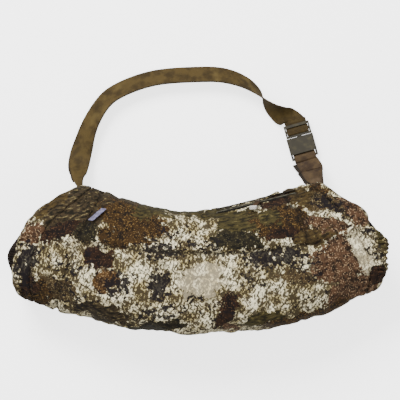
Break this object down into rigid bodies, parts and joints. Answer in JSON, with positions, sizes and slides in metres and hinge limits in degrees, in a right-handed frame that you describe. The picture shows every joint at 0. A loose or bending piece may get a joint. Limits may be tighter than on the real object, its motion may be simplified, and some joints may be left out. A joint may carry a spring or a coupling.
{
  "type": "hand warmer muff",
  "caption": "Padded tube muff with slanted elastic hand openings, a zipped pocket in its top edge and a webbing waist belt with a side-release buckle.",
  "frame": {"origin": "middle of the whole object's footprint, on the plane it lies on", "axes": "+X along the hand tunnel, towards the hand opening nearest the buckle; +Y from the muff towards its waist belt; +Z out of the front, away from the plane that the back lies on"},
  "size_m": [0.4278, 0.3097, 0.113],
  "materials": {
    "camo_shell": "brushed printed camouflage cloth",
    "wadding": "loose polyester wadding",
    "fleece": "short dark fleece",
    "knit": "ribbed dark knit",
    "elastic": "woven elastic",
    "label": "blank satin label",
    "lining": "plain woven lining",
    "zip_tape": "woven zip tape",
    "zip_coil": "nylon coil",
    "zip_metal": "dark painted zinc",
    "webbing": "flat woven olive-brown webbing",
    "crimp": "pale moulded tip",
    "buckle": "olive-brown acetal"
  },
  "bodies": {
    "muff": {"front_yoke": "camo_shell", "front_right_yoke": "camo_shell", "front_left_panel": "camo_shell", "front_lower_panel": "camo_shell", "back_panel": "camo_shell", "wadding_front": "wadding", "wadding_back": "wadding", "fleece_liner": "fleece", "left_cuff_band": "camo_shell", "left_cuff_elastic": "elastic", "left_knit_cuff": "knit", "right_cuff_band": "camo_shell", "right_cuff_elastic": "elastic", "right_knit_cuff": "knit", "side_label": "label", "pocket_bag": "lining", "zip_tape_front": "zip_tape", "zip_tape_back": "zip_tape", "zip_coil_front": "zip_coil", "zip_coil_back": "zip_coil", "zip_stops": "zip_metal", "left_belt_tab": "webbing", "right_belt_tab": "webbing"},
    "belt_long": {"belt_webbing": "webbing", "belt_webbing_end": "webbing"},
    "belt_short": {"short_webbing": "webbing", "short_webbing_loop": "webbing", "buckle_female": "buckle"},
    "male_half": {"buckle_male": "buckle", "buckle_webbing_wrap": "webbing"},
    "left_prong": {"buckle_left_prong": "buckle"},
    "right_prong": {"buckle_right_prong": "buckle"},
    "slider": {"zip_slider": "zip_metal"},
    "pull": {"zip_pull": "zip_metal", "pull_webbing_tab": "webbing", "pull_tab_crimp": "crimp"}
  },
  "joints": [
    {"name": "belt_swing", "type": "hinge", "parent": "muff", "child": "belt_long", "pos_m": [-0.139, 0.031, 0.024], "axis": [1, 0, 0], "range_deg": [-90, 90]},
    {"name": "short_belt_swing", "type": "hinge", "parent": "muff", "child": "belt_short", "pos_m": [0.131, 0.031, 0.024], "axis": [1, 0, 0], "range_deg": [-90, 90]},
    {"name": "buckle_release", "type": "slide", "parent": "belt_long", "child": "male_half", "axis": [-0.2706, 0.9627, 0], "range_m": [0, 0.018], "deforming": ["belt_webbing_end"]},
    {"name": "left_prong_flex", "type": "hinge", "parent": "male_half", "child": "left_prong", "pos_m": [0.10706, 0.07007, 0.006], "axis": [0, 0, 1], "range_deg": [0, 6], "stiffness_Nm_per_rad": 0.15},
    {"name": "right_prong_flex", "type": "hinge", "parent": "male_half", "child": "right_prong", "pos_m": [0.12679, 0.07562, 0.006], "axis": [0, 0, 1], "range_deg": [-6, 0], "stiffness_Nm_per_rad": 0.15},
    {"name": "zip_slide", "type": "slide", "parent": "muff", "child": "slider", "axis": [0.9713, 0.2377, 0], "range_m": [-0.042, 0.038]},
    {"name": "pull_swing", "type": "hinge", "parent": "slider", "child": "pull", "pos_m": [0.06659, -0.00046, 0.07055], "axis": [0.9713, 0.2377, 0], "range_deg": [-165, 0]}
  ],
  "couplings": [
    {"joint": "short_belt_swing", "follows": "belt_swing", "ratio": 1},
    {"joint": "right_prong_flex", "follows": "left_prong_flex", "ratio": -1}
  ]
}
